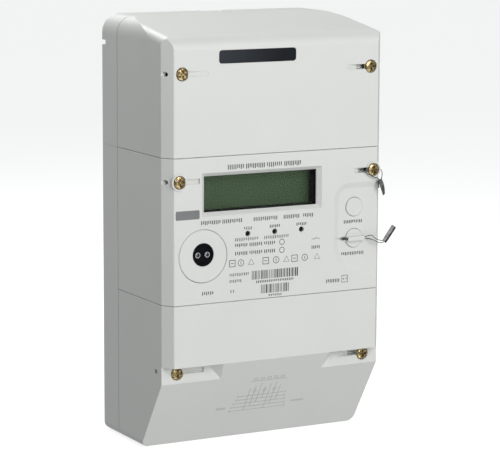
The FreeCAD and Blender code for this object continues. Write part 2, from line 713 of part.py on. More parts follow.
def main_board():
    """The metering board, screwed to the posts inside the main cover."""
    plate = box(("-63", "63"), ("-board_front + 0.02", "-board_front + board_thick"),
                ("lower_seam + 5", "upper_seam - 3.5"))
    holes = [rod("y", (x, z), ("-board_front - 1", "-board_front + 3"), "1.6")
             for x, z in board_fixings()]
    keep("main_board", cut(plate, *holes))
    back = "-board_front + board_thick"
    group("board_screws", [
        fuse(rod("y", (x, z), (f"{back} + 0.02", f"{back} + 1.8"), "2.6"),
             rod("y", (x, z), (f"{back} - 9", f"{back} + 0.5"), "1.2"))
        for x, z in board_fixings()
    ])
    chips = [box((x, f"{x} + {size}"), ("-board_front - 1.6", "-board_front"),
                 (z, f"{z} + {size}"))
             for x, z, size in (("-14", "114", 14), ("8", "117", 9), ("24", "112", 7))]
    group("processor_chips", chips)
    cans = [rod("y", (x, "150"), (f"{back} + 0.02", f"{back} + 22"), "6.3")
            for x in ("8", "24", "40")]
    group("capacitors", cans)
    power_transformer(back)


def power_transformer(back):
    """A laminated core on end, with its winding round the middle leg."""
    core = box(("-50", "-14"), (f"{back} + 3", f"{back} + 15"), ("140", "170"))
    windows = [box((f"{x}", f"{x} + 8"), (f"{back} + 2", f"{back} + 16"), ("146", "164"))
               for x in ("-44", "-28")]
    keep("power_transformer_core", cut(core, *windows))
    coil = box(("-43.5", "-20.5"), (f"{back} + 0.02", f"{back} + 18"), ("146.5", "163.5"))
    leg = box(("-36.2", "-27.8"), (f"{back} + 2.8", f"{back} + 15.2"), ("146", "164"))
    keep("power_transformer_winding", cut(coil, leg))


def indicator_leds():
    """Three round indicators, each with its flange and two legs down to the board."""
    lamps = []
    for x in led_places():
        lamp = spun(
            [("-depth + 0.3", "0"), ("-depth + 0.5", "led_wide * 0.6"),
             ("-depth + 1.3", "led_wide"), ("-depth + 5.4", "led_wide"),
             ("-depth + 5.4", "led_wide + 0.4"), ("-depth + 6.4", "led_wide + 0.4"),
             ("-depth + 6.4", "0")], x, "led_z")
        legs = [box((f"{x} + {step} - 0.25", f"{x} + {step} + 0.25"),
                    ("-depth + 6", "-board_front"), ("led_z - 0.25", "led_z + 0.25"))
                for step in ("-1.27", "1.27")]
        lamps.append(fuse(lamp, *legs))
    group("indicator_leds", lamps)


def optical_port():
    """The disc a reading head sits on, its steel ring, its lens and the two infrared diodes."""
    front, floor = "-depth - 0.2", "-depth + 3.4"
    disc = spun([(floor + " - 1.05", "0"), (front, "0"), (front, "port_wide - 0.4"),
                 (front + " + 0.4", "port_wide"), (floor + " - 1.05", "port_wide")],
                "port_x", "port_z")
    keep("optical_disc", cut(disc, rod("y", ("port_x", "lens_z"), ("-depth - 1", floor),
                                       "lens_wide + 0.1")))
    ring = rod("y", ("port_x", "port_z"), (floor + " - 1", floor + " - 0.02"), "15")
    keep("optical_steel_ring", cut(ring, rod("y", ("port_x", "lens_z"), ("-depth", floor + " + 1"),
                                             "lens_wide + 0.1")))
    lens = spun([(floor + " - 0.02", "0"), ("-depth + 0.6", "0"), ("-depth + 0.6", "4.9"),
                 ("-depth - 0.6", "5.9"), ("-depth - 0.6", "lens_wide - 0.3"),
                 ("-depth - 0.3", "lens_wide"), (floor + " - 0.02", "lens_wide")],
                "port_x", "lens_z")
    wells = [rod("y", (x, "lens_z"), ("-depth - 1", "-depth + 8"), "diode_wide + 0.15")
             for x in diode_places()]
    keep("optical_lens", cut(lens, *wells))
    for label, x in zip(("ir_transmitter", "ir_receiver"), diode_places()):
        dome = spun(
            [("-depth - 0.1", "0"), ("-depth + 0.2", "diode_wide * 0.65"),
             ("-depth + 1", "diode_wide"), ("-depth + 7", "diode_wide"),
             ("-depth + 7", "diode_wide + 0.4"), ("-depth + 8", "diode_wide + 0.4"),
             ("-depth + 8", "0")], x, "lens_z")
        legs = [box((f"{x} + {step} - 0.25", f"{x} + {step} + 0.25"),
                    ("-depth + 7.5", "-board_front"), ("lens_z - 0.25", "lens_z + 0.25"))
                for step in ("-1.27", "1.27")]
        keep(label, fuse(dome, *legs))


def diode_places():
    return ("port_x - diode_pitch / 2 - 0.7", "port_x + diode_pitch / 2 - 0.7")


# ---- buttons ---------------------------------------------------------------------------


def button_profile():
    """Cap, flange behind the panel and stem towards the switch."""
    face, flange = "-button_front", "-depth + 5"
    return [(face, "0"), (face, "button_wide - 0.4"), (face + " + 0.4", "button_wide"),
            (flange, "button_wide"), (flange, "button_wide + 1.6"),
            (flange + " + 1.2", "button_wide + 1.6"), (flange + " + 1.2", "1.9"),
            ("-board_front - 5 - travel - 0.2", "1.9"), ("-board_front - 5 - travel - 0.2", "0")]


def buttons():
    """The view button, and the lock button with its ridge and slot for a seal wire."""
    keep("view_button", spun(button_profile(), "button_x", "view_z"))
    cap = spun(button_profile(), "button_x", "lock_z")
    ridge = common(
        box(("button_x - button_wide", "button_x + button_wide"),
            ("-button_front - 2.9", "-button_front + 0.5"), ("lock_z - 1.25", "lock_z + 1.25")),
        rod("y", ("button_x", "lock_z"), ("-depth - 4", "-depth + 3"), "button_wide"))
    slot = box(("button_x - 7", "button_x + 7"), ("-depth - 1.65", "-depth + 0.2"),
               ("lock_z - 0.75", "lock_z + 0.75"))
    keep("lock_button", cut(fuse(cap, ridge), slot))
    switches = []
    for label, z in (("view_button_boot", "view_z"), ("lock_button_boot", "lock_z")):
        return_boot(label, z)
        base = box(("button_x - 3", "button_x + 3"), ("-board_front - 3.5", "-board_front"),
                   (f"{z} - 3", f"{z} + 3"))
        plunger = rod("y", ("button_x", z), ("-board_front - 5", "-board_front - 3"), "1.7")
        switches.append(fuse(base, plunger))
    group("button_switches", switches)


def return_boot(label, z):
    """A hollow silicone cone between a button's flange and the board, round its switch."""
    board, flange = "-board_front - 0.05", "-depth + 6.25"
    boot = spun([(board, "5.0"), (board, "7.0"), (board + " - 1", "7.0"), (flange + " + 1", "4.6"),
                 (flange, "4.6"), (flange, "3.6")], "button_x", z)
    return keep(label, boot)


# ---- upper compartment -----------------------------------------------------------------


def upper_compartment():
    """The interface board with its plug-in communication module and the clock's battery."""
    plate = box(("-56", "56"), ("-62", "-60.42"), ("194", "246"))
    places = [(x, z) for x in both_sides("50") for z in ("200", "240")]
    keep("module_board", cut(plate, *[rod("y", place, ("-63", "-60"), "1.6")
                                      for place in places]))
    group("module_board_screws", [
        fuse(rod("y", place, ("-63.8", "-62.02"), "2.6"),
             rod("y", place, ("-63", "-53"), "1.2")) for place in places])
    shell = box(("-34", "20"), ("-80", "-66"), ("214", "243"))
    ribs = [box((f"{x}", f"{x} + 1.5"), ("-81", "-79"), ("218", "239"))
            for x in range(-30, -18, 3)]
    keep("communication_module", cut(shell, *ribs))
    keep("module_connector", box(("-24", "10"), ("-65.98", "-62.02"), ("226", "231")))
    cell_axis = ("-71", "203")
    keep("battery", rod("x", cell_axis, ("-12", "13"), "7.1"))
    holder = box(("-15", "16"), ("-72", "-62.02"), ("194.5", "211.5"))
    keep("battery_holder", cut(holder, rod("x", cell_axis, ("-12.4", "13.4"), "7.4")))


# ---- terminals -------------------------------------------------------------------------


def terminal_places():
    return [f"(-52.5 + {index} * pitch)" for index in range(8)]


def terminal_block():
    """A comb of insulating walls, open in front and below, with a clamp in each bay."""
    blank = box(("-block_half", "block_half"), ("-block_front", "-block_back"),
                ("block_low", "block_high"))
    bays = [box((f"{x} - clamp_half - 0.15", f"{x} + clamp_half + 0.15"),
                ("-block_front - 1", "cable_y + 12.2"), ("block_low - 1", "clamp_high + 4"))
            for x in terminal_places()]
    slits = [box((f"{x} - 3.2", f"{x} + 3.2"), ("cable_y + 5.3", "cable_y + 7.7"),
                 ("clamp_high", "block_high + 1")) for x in terminal_places()]
    lighten = box(("-block_half + 4", "block_half - 4"), ("-block_front - 1", "cable_y - 4"),
                  ("clamp_high + 26", "block_high + 1"))
    keep("terminal_block", cut(blank, *bays, *slits, lighten))
    group("terminal_clamps", [terminal_clamp(x) for x in terminal_places()])
    screw_rows = [(x, z) for x in terminal_places() for z in ("clamp_low + 7", "clamp_low + 19")]
    group("terminal_screws", [clamp_screw(x, z) for x, z in screw_rows])
    current_bars()


def terminal_clamp(x):
    """A brass block with a cable bore from below and two screw holes from the front."""
    blank = box((f"{x} - clamp_half", f"{x} + clamp_half"), ("cable_y - 10", "cable_y + 8"),
                ("clamp_low", "clamp_high"))
    bore = rod("z", (x, "cable_y"), ("clamp_low - 1", "clamp_high - 2"), "cable_bore")
    holes = [rod("y", (x, z), ("cable_y - 11", "cable_y"), "3.05")
             for z in ("clamp_low + 7", "clamp_low + 19")]
    slit = box((f"{x} - 3.05", f"{x} + 3.05"), ("cable_y + 5.45", "cable_y + 7.55"),
               ("clamp_high - 12", "clamp_high + 1"))
    return cut(blank, bore, *holes, slit)


def clamp_screw(x, z):
    """A slotted M6 clamping screw, backed out so that its bore is free."""
    slug = rod("y", (x, z), ("cable_y - 15", "cable_y - 4.6"), "3")
    slot = box((f"{x} - 4", f"{x} + 4"), ("cable_y - 16", "cable_y - 13.2"),
               (f"{z} - 0.6", f"{z} + 0.6"))
    return cut(slug, slot)


def current_bars():
    """Flat copper bars from clamp to clamp, three of them through a current transformer."""
    bars, rings = [], []
    for first in range(0, 8, 2):
        left, right = terminal_places()[first], terminal_places()[first + 1]
        y = ("cable_y + 5.5", "cable_y + 7.5")
        legs = [box((f"{x} - 3", f"{x} + 3"), y, ("clamp_high - 11.9", "bar_top"))
                for x in (left, right)]
        bars.append(fuse(*legs, box((f"{left} - 3", f"{right} + 3"), y,
                                    ("bar_top - 6", "bar_top"))))
        if first < 6:
            rings.append(cut(
                rod("z", (left, "cable_y + 6.5"), ("block_high + 6", "block_high + 15"), "11"),
                rod("z", (left, "cable_y + 6.5"), ("block_high + 5", "block_high + 16"), "4.6")))
    group("current_bars", bars)
    group("current_transformers", rings)


def aux_terminals():
    """The small strip for the data and pulse wires, on the front of the terminal block."""
    x_low, count, step = -40.0, 10, 5.08
    places = [x_low + step * (index + 0.5) for index in range(count)]
    blank = box((x_low, x_low + step * count), ("-74", "-block_front - 0.02"), ("72", "88"))
    wires = [rod("z", (x, "-67"), ("71", "82"), "1.4") for x in places]
    wells = [rod("y", (x, "79"), ("-75", "-69.2"), "1.9") for x in places]
    keep("aux_terminal_block", cut(blank, *wires, *wells))
    group("aux_terminal_screws", [
        cut(rod("y", (x, "79"), ("-73.4", "-69.22"), "1.75"),
            box((f"{x} - 2", f"{x} + 2"), ("-75", "-72.6"), ("78.7", "79.3")))
        for x in places])


# ---- gasket, hanger and seals ----------------------------------------------------------


def case_gasket():
    """A square-section ring that closes the seam round the metering compartment."""
    outer = box(("-width / 2 + wall + 0.1", "width / 2 - wall - 0.1"),
                ("-base_depth - gap", "-base_depth + 2"), ("lower_seam + 11.4", "upper_seam - 2.8"))
    inner = box(("-width / 2 + wall + 2", "width / 2 - wall - 2"), ("-base_depth - 1",
                                                                   "-base_depth + 3"),
                ("lower_seam + 13.4", "upper_seam - 4.8"))
    posts = [rod("y", (x, "main_screw_z"), ("-base_depth - 2", "-base_depth + 4"),
                 "post_wide + 0.1") for x in both_sides("main_screw_x")]
    keep("case_gasket", cut(outer, inner, *posts))


def hanger():
    """The sheet-metal strap that slides up out of the back to take the top wall screw."""
    body = new_body()
    pad(body, "XZ_Plane",
        [("-hanger_half", "hanger_low"), ("-hanger_half", "hanger_low + hanger_long"),
         ("hanger_half", "hanger_low + hanger_long"), ("hanger_half", "hanger_low")],
        "2", "hanger_thick", [("3", (1, 2)), ("1", (0, 3))])
    keep("hanger", cut(body, rod("y", ("0", "hanger_low + hanger_long - 7"), ("-5", "1"),
                                 "hanger_hole")))


def bent_wire(points, bend):
    """Straight runs joined by tangent arcs, swept with the seal wire's section."""
    points = [Vector(*point) for point in points]
    edges, start = [], points[0]
    for before, corner, after in zip(points, points[1:], points[2:]):
        back, on = (before - corner).normalize(), (after - corner).normalize()
        half = back.getAngle(on) / 2
        reach = min(bend / math.tan(half), 0.45 * (before - corner).Length,
                    0.45 * (after - corner).Length)
        radius = reach * math.tan(half)
        enter, leave = corner + back * reach, corner + on * reach
        centre = corner + (back + on).normalize() * (radius / math.sin(half))
        middle = centre + (corner - centre).normalize() * radius
        edges.append(Part.LineSegment(start, enter).toShape())
        edges.append(Part.Arc(enter, middle, leave).toShape())
        start = leave
    edges.append(Part.LineSegment(start, points[-1]).toShape())
    heading = points[1] - points[0]
    section = Part.Wire(Part.makeCircle(VALUE["wire_wide"], points[0], heading))
    wire = doc.addObject("Part::Feature", "Wire")
    wire.Shape = Part.Wire(edges).makePipeShell([section], True, False)
    return wire


def crimp_tag(label, low, high, wide, thick):
    """A flattened metal sleeve between two points, with a fold line down each face."""
    low, high = Vector(*low), Vector(*high)
    axis = (high - low).normalize()
    across = axis.cross(Vector(0, 1, 0)).normalize()
    turn = FreeCAD.Rotation(axis, across, axis.cross(across), "XYZ")
    length = (high - low).Length
    plate = Part.makeBox(length, thick, wide, Vector(0, -thick / 2, -wide / 2))
    plate = plate.makeFillet(thick * 0.3, plate.Edges)
    dent = Part.makeBox(length * 0.5, thick, wide * 0.35,
                        Vector(length * 0.25, thick * 0.36, -wide * 0.175))
    tag = doc.addObject("Part::Feature", "Tag")
    tag.Shape = plate.cut(dent)
    tag.Placement = FreeCAD.Placement(low, turn)
    return keep(label, tag)


def seals():
    """The two wire seals: one through a main cover screw, one through the lock button."""
    x, z = VALUE["main_screw_x"], VALUE["main_screw_z"]
    front = -VALUE["depth"]
    inside = front + VALUE["seal_depth"]
    route = [
        (72.4, front - 2.6, 165.4), (71.8, front - 2.6, 167.2), (68.6, front - 2.3, 168.0),
        (64.0, front - 1.9, 170.4), (61.6, front - 0.8, 172.4), (61.2, inside, z),
        (x + 6.6, inside, z), (78.0, inside - 0.9, 171.3), (75.6, front - 0.6, 168.0),
        (73.2, front - 2.6, 165.4)]
    keep("screw_seal_wire", bent_wire(route, 0.9))
    crimp_tag("screw_seal_tag", (72.7, front - 2.6, 166.2), (75.7, front - 2.6, 156.8), 2.8, 1.3)
    y, z = front - 0.25, VALUE["lock_z"]
    left = VALUE["button_x"] - 8.4
    route = [
        (75.6, -96.0, 127.2), (73.2, -95.9, 126.9), (68.2, -95.6, 129.2), (67.0, -95.2, 131.4),
        (63.2, y, z + 0.37), (left + 1.4, y, z + 0.37), (left, y + 2.2, z + 0.37),
        (left, y + 2.2, z - 0.37), (left + 1.4, y, z - 0.37), (63.6, y, z - 0.37),
        (67.2, -94.2, 128.3), (70.4, -95.3, 126.6), (73.6, -96.2, 125.2), (75.9, -96.4, 126.7)]
    keep("button_seal_wire", bent_wire(route, 0.6))
    crimp_tag("button_seal_tag", (75.6, -96.2, 126.6), (83.6, -96.2, 136.3), 3.4, 2.4)


# ---- the whole meter -------------------------------------------------------------------


def build():
    fill_sheet()
    case = case_form("0")
    cavity = case_form("wall")
    doc.recompute()
    rear_base(case, cavity)
    upper_cover(case, cavity)
    main_cover(case, cavity)
    terminal_cover(case, cavity)
    upper_window()
    all_cover_screws()
    screw_inserts()
    display()
    main_board()
    indicator_leds()
    optical_port()
    buttons()
    upper_compartment()
    terminal_block()
    aux_terminals()
    case_gasket()
    hanger()
    seals()
    doc.recompute()


def check_and_export():
    """Refuses a failed object or a broken sub-part, then writes one file for each."""
    for thing in doc.Objects:
        if "Invalid" in thing.State or "Error" in thing.State:
            raise RuntimeError(f"{thing.Label} failed: {thing.State}")
    for part in sub_parts:
        if part.Shape.isNull() or not part.Shape.isValid():
            raise RuntimeError(f"{part.Label} has no valid shape")
    os.makedirs("parts", exist_ok=True)
    for part in sub_parts:
        part.Shape.exportStep(f"parts/{part.Label}.step")
        print(part.Label, len(part.Shape.Solids), round(part.Shape.Volume / 1000, 2), "cm3")


build()
check_and_export()
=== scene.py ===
import math
import random

import bmesh
import bpy
from mathutils import Matrix, Vector


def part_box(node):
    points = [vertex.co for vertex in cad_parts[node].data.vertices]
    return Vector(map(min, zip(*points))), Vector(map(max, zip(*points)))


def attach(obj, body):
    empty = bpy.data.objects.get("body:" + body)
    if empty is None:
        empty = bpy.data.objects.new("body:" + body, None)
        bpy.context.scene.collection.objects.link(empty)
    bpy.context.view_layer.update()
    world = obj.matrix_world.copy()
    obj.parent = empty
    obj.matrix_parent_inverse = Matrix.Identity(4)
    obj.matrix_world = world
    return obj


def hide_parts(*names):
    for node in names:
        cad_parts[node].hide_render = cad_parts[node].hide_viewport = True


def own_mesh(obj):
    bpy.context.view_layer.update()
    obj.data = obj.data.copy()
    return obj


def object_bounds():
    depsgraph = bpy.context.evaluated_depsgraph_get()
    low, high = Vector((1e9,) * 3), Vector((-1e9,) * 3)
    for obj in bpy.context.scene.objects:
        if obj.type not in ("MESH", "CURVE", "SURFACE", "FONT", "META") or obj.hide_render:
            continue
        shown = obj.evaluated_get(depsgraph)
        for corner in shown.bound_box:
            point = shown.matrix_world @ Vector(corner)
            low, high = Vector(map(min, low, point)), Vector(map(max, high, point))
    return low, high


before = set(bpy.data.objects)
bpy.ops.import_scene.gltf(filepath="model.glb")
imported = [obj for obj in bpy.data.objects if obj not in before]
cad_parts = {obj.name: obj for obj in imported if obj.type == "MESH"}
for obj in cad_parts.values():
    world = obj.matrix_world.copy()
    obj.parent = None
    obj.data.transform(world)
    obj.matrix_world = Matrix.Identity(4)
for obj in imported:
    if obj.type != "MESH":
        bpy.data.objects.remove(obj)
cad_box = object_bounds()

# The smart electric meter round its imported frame: camera, light and finishes for every piece,
# the printed marks on the covers, the two wire seals and the buttons' soft boots. Everything
# is in metres, except that marks and seals are placed in millimetres and turned into metres
# where their corners are made.

MM = 0.001
LOW, HIGH = cad_box
MIDDLE = (Vector(LOW) + Vector(HIGH)) / 2
FLOOR_GAP = 0.0002  # keeps the floor's face off the meter's lowest one
PANEL_DEPTH_MM = 1.5  # from the main cover's front back to the face of its button panel
SCENE = bpy.context.scene


# ---- camera, stage and light -----------------------------------------------------------


def studio_camera():
    """A long lens at the meter's left, a little above it, looking down by nine degrees."""
    place = Vector((-689.4, -1340.6, 366.3)) * MM
    heading, dip, lean = (math.radians(angle) for angle in (28.21, 8.947, 0.214))
    data = bpy.data.cameras.new("camera")
    data.sensor_width = 36.0
    data.lens = 166.4
    data.clip_start = 0.05
    data.clip_end = 200.0
    camera = bpy.data.objects.new("camera", data)
    camera.matrix_world = (
        Matrix.Translation(place)
        @ Matrix.Rotation(-heading, 4, "Z")
        @ Matrix.Rotation(math.pi / 2 - dip, 4, "X")
        @ Matrix.Rotation(lean, 4, "Z")
    )
    SCENE.collection.objects.link(camera)
    SCENE.camera = camera


def soft_light(name, azimuth, elevation, distance, size, power):
    """A square softbox that faces the middle of the meter; azimuth 0 is straight in front."""
    turn, rise = math.radians(azimuth), math.radians(elevation)
    way = Vector((math.sin(turn) * math.cos(rise), -math.cos(turn) * math.cos(rise), math.sin(rise)))
    data = bpy.data.lights.new(name, "AREA")
    data.shape = "SQUARE"
    data.size = size
    data.energy = power
    light = bpy.data.objects.new(name, data)
    light.location = MIDDLE + way * distance
    light.rotation_euler = way.to_track_quat("Z", "Y").to_euler()
    SCENE.collection.objects.link(light)


def sky(strength):
    """Even, very slightly blue light from all round."""
    world = bpy.data.worlds.new("sky")
    world.use_nodes = True
    back = world.node_tree.nodes["Background"]
    back.inputs["Color"].default_value = (0.97, 0.985, 1.0, 1.0)
    back.inputs["Strength"].default_value = strength
    SCENE.world = world


def white_stage():
    """A pale floor and a white dome far behind it, which neither light the meter nor shade it."""
    reach = 10.0
    floor_mesh = bpy.data.meshes.new("floor")
    build = bmesh.new()
    bmesh.ops.create_circle(build, cap_ends=True, segments=96, radius=reach)
    build.to_mesh(floor_mesh)
    floor = bpy.data.objects.new("floor", floor_mesh)
    floor.location.z = LOW[2] - FLOOR_GAP
    floor.data.materials.append(glowing("pale_floor", 0.55, 0.70))

    dome_mesh = bpy.data.meshes.new("dome")
    build = bmesh.new()
    bmesh.ops.create_uvsphere(build, u_segments=48, v_segments=24, radius=reach)
    build.to_mesh(dome_mesh)
    dome = bpy.data.objects.new("dome", dome_mesh)
    dome.data.materials.append(glowing("white_dome", 0.0, 1.0))
    for piece in (floor, dome):
        SCENE.collection.objects.link(piece)
        piece.visible_diffuse = False
        piece.visible_glossy = False
        piece.visible_shadow = False


def glowing(name, reflected, given):
    """A matte white that also gives light, for the stage."""
    finish = bpy.data.materials.new(name)
    finish.use_nodes = True
    shader = finish.node_tree.nodes["Principled BSDF"]
    shader.inputs["Base Color"].default_value = (reflected, reflected, reflected, 1.0)
    shader.inputs["Roughness"].default_value = 1.0
    shader.inputs["Specular IOR Level"].default_value = 0.0
    shader.inputs["Emission Color"].default_value = (1.0, 1.0, 1.0, 1.0)
    shader.inputs["Emission Strength"].default_value = given
    return finish


# ---- finishes --------------------------------------------------------------------------


class Finish:
    """A procedural material on one Principled shader, with its textures in object space."""

    WAVES_TO_THE_METRE = 3.1831  # of a wave texture at a scale of 1

    def __init__(self, name, **sockets):
        self.material = bpy.data.materials.new(name)
        self.material.use_nodes = True
        self.tree = self.material.node_tree
        self.shader = self.tree.nodes["Principled BSDF"]
        self.place = self.add("ShaderNodeTexCoord").outputs["Object"]
        for socket, value in sockets.items():
            self.shader.inputs[socket.replace("_", " ")].default_value = value

    def add(self, kind):
        return self.tree.nodes.new(kind)

    def join(self, source, target):
        self.tree.links.new(source, target)

    def noise(self, scale, detail, stretch=(1, 1, 1)):
        """Cloudy noise whose features are about 1 / scale metres across."""
        mapping = self.add("ShaderNodeMapping")
        mapping.inputs["Scale"].default_value = stretch
        texture = self.add("ShaderNodeTexNoise")
        texture.inputs["Scale"].default_value = scale
        texture.inputs["Detail"].default_value = detail
        self.join(self.place, mapping.inputs["Vector"])
        self.join(mapping.outputs["Vector"], texture.inputs["Vector"])
        return texture.outputs["Fac"]

    def bands(self, scale, axis, distortion=0.0):
        """Even bands across one axis, scale of them to the metre."""
        texture = self.add("ShaderNodeTexWave")
        texture.wave_profile = "SIN"
        texture.bands_direction = axis
        texture.inputs["Scale"].default_value = scale / self.WAVES_TO_THE_METRE
        texture.inputs["Distortion"].default_value = distortion
        self.join(self.place, texture.inputs["Vector"])
        return texture.outputs["Fac"]

    def spread(self, source, low, high, start=0.3, end=0.7):
        """The source's middle range, stretched to run from low to high."""
        ramp = self.add("ShaderNodeMapRange")
        ramp.inputs["From Min"].default_value = start
        ramp.inputs["From Max"].default_value = end
        ramp.inputs["To Min"].default_value = low
        ramp.inputs["To Max"].default_value = high
        self.join(source, ramp.inputs["Value"])
        return ramp.outputs["Result"]

    def colours(self, source, first, second, start=0.3, end=0.7):
        """A base colour that runs from the first to the second with the source."""
        mix = self.add("ShaderNodeMix")
        mix.data_type = "RGBA"
        mix.inputs["A"].default_value = (*first, 1.0)
        mix.inputs["B"].default_value = (*second, 1.0)
        self.join(self.spread(source, 0.0, 1.0, start, end), mix.inputs["Factor"])
        self.join(mix.outputs["Result"], self.shader.inputs["Base Color"])

    def roughness(self, source, low, high):
        self.join(self.spread(source, low, high), self.shader.inputs["Roughness"])

    def relief(self, source, depth, strength=0.5):
        """Bumps up to a depth in metres."""
        bump = self.add("ShaderNodeBump")
        bump.inputs["Distance"].default_value = depth
        bump.inputs["Strength"].default_value = strength
        self.join(source, bump.inputs["Height"])
        self.join(bump.outputs["Normal"], self.shader.inputs["Normal"])


def moulded(name, first, second, rough, grain=2600, depth=0.00003, **sockets):
    """Moulded plastic: an even colour with slight clouds, and the mould's fine texture."""
    finish = Finish(name, **sockets)
    finish.colours(finish.noise(22, 3), first, second)
    finish.roughness(finish.noise(90, 3), rough - 0.04, rough + 0.05)
    finish.relief(finish.noise(grain, 2), depth)
    return finish.material


def polished(name, first, second, rough, **sockets):
    """Smooth glossy plastic or glass, with a very faint unevenness."""
    finish = Finish(name, **sockets)
    finish.colours(finish.noise(35, 2), first, second)
    finish.roughness(finish.noise(160, 3), rough * 0.7, rough * 1.5)
    finish.relief(finish.noise(120, 1), 0.00002, 0.2)
    return finish.material


def metal(name, first, second, rough, stretch=(1, 1, 1)):
    """Bare or plated metal with drawn or turned marks."""
    grain = 900
    finish = Finish(name, Metallic=1.0)
    finish.colours(finish.noise(260, 3, stretch), first, second)
    finish.roughness(finish.noise(grain, 3, stretch), rough - 0.09, rough + 0.12)
    finish.relief(finish.noise(grain, 3, stretch), 0.00002, 0.4)
    return finish.material


def circuit_board():
    """Green solder resist over copper tracks."""
    finish = Finish("circuit_board", Roughness=0.35)
    tracks = finish.add("ShaderNodeTexBrick")
    tracks.inputs["Scale"].default_value = 180.0
    tracks.inputs["Mortar Size"].default_value = 0.09
    tracks.inputs["Color1"].default_value = (0.010, 0.105, 0.040, 1.0)
    tracks.inputs["Color2"].default_value = (0.013, 0.125, 0.048, 1.0)
    tracks.inputs["Mortar"].default_value = (0.028, 0.215, 0.085, 1.0)
    # The brick pattern lies in X and Y, so it is turned to stand in the boards' X and Z.
    turn = finish.add("ShaderNodeMapping")
    turn.inputs["Rotation"].default_value = (math.pi / 2, 0, 0)
    finish.join(finish.place, turn.inputs["Vector"])
    finish.join(turn.outputs["Vector"], tracks.inputs["Vector"])
    finish.join(tracks.outputs["Color"], finish.shader.inputs["Base Color"])
    finish.relief(tracks.outputs["Fac"], 0.00003)
    return finish.material


def banded(name, first, second, count, axis, rough, depth, **sockets):
    """Layers that show at the surface: core plates, or turns of tape."""
    finish = Finish(name, **sockets)
    layers = finish.bands(count, axis, 0.4)
    finish.colours(layers, first, second, 0.2, 0.8)
    finish.roughness(finish.noise(400, 3), rough - 0.05, rough + 0.08)
    finish.relief(layers, depth)
    return finish.material


def smoked_window():
    """Dark smoked plastic, painted a little paler towards its left end: a painted reflection."""
    finish = Finish("smoked_window", Specular_IOR_Level=0.2)
    # The fade from pale at the left to dark at the right is a painted reflection on one even plastic.
    pale, dark = (0.034, 0.040, 0.047), (0.010, 0.012, 0.015)
    pale_x, dark_x = -0.042, 0.004
    split = finish.add("ShaderNodeSeparateXYZ")
    finish.join(finish.place, split.inputs["Vector"])
    finish.colours(split.outputs["X"], pale, dark, pale_x, dark_x)
    finish.roughness(finish.noise(60, 2), 0.16, 0.24)
    return finish.material


def display_glass():
    """The switched-off display: dark green, with the faint grain of its cells."""
    finish = Finish("display_glass", Specular_IOR_Level=0.15)
    finish.colours(finish.noise(30, 2), (0.042, 0.074, 0.034), (0.050, 0.084, 0.042))
    finish.roughness(finish.noise(160, 3), 0.30, 0.42)
    finish.relief(finish.bands(900, "X"), 0.00001, 0.1)
    return finish.material


def passivated_steel():
    """Yellow passivated zinc: straw to brown patches about a millimetre across."""
    finish = Finish("passivated_steel", Metallic=1.0)
    finish.colours(finish.noise(950, 3), (0.10, 0.065, 0.030), (0.75, 0.60, 0.32), 0.38, 0.62)
    finish.roughness(finish.noise(700, 3), 0.20, 0.38)
    finish.relief(finish.noise(900, 3), 0.00003, 0.4)
    return finish.material


def case_shade(value):
    """The case's warm, faintly green white at a given lightness."""
    return tuple(value * part for part in (0.995, 1.008, 0.972))


